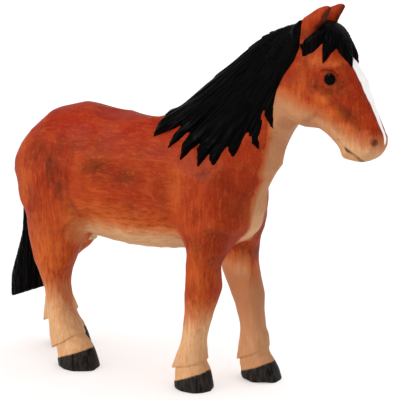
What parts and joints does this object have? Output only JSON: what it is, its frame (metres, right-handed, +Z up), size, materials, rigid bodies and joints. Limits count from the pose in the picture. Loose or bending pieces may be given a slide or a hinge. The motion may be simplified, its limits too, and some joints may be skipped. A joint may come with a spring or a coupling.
{
  "type": "carved wooden horse figurine",
  "caption": "Hand-carved, stained wooden horse in a walking pose, standing free on flat hoof soles; carved blocks joined on hidden dowels.",
  "frame": {"origin": "centre of the bounding box in plan, at the level of the hoof soles", "axes": "+X from the tail toward the nose, +Y toward the horse's own left side, +Z up"},
  "size_m": [0.1674, 0.0414, 0.1474],
  "materials": {
    "bay_stained_wood": "satin bay stain over hand-carved wood, pale cream lower legs, belly and muzzle, charcoal hooves, white blaze",
    "black_painted_wood": "satin black paint over carved strands",
    "black_eye_peg": "semi-gloss black paint",
    "bare_dowel_wood": "bare beech, hidden inside the joints"
  },
  "bodies": {
    "root": {"trunk": "bay_stained_wood", "neck": "bay_stained_wood", "head": "bay_stained_wood", "leg_front_right": "bay_stained_wood", "leg_front_left": "bay_stained_wood", "leg_hind_right": "bay_stained_wood", "leg_hind_left": "bay_stained_wood", "mane": "black_painted_wood", "forelock": "black_painted_wood", "tail": "black_painted_wood", "eye_right": "black_eye_peg", "eye_left": "black_eye_peg", "neck_dowel_rear": "bare_dowel_wood", "neck_dowel_front": "bare_dowel_wood", "head_dowel": "bare_dowel_wood", "leg_dowel_front_right": "bare_dowel_wood", "leg_dowel_front_left": "bare_dowel_wood", "leg_dowel_hind_right": "bare_dowel_wood", "leg_dowel_hind_left": "bare_dowel_wood", "tail_dowel": "bare_dowel_wood"}
  },
  "joints": []
}
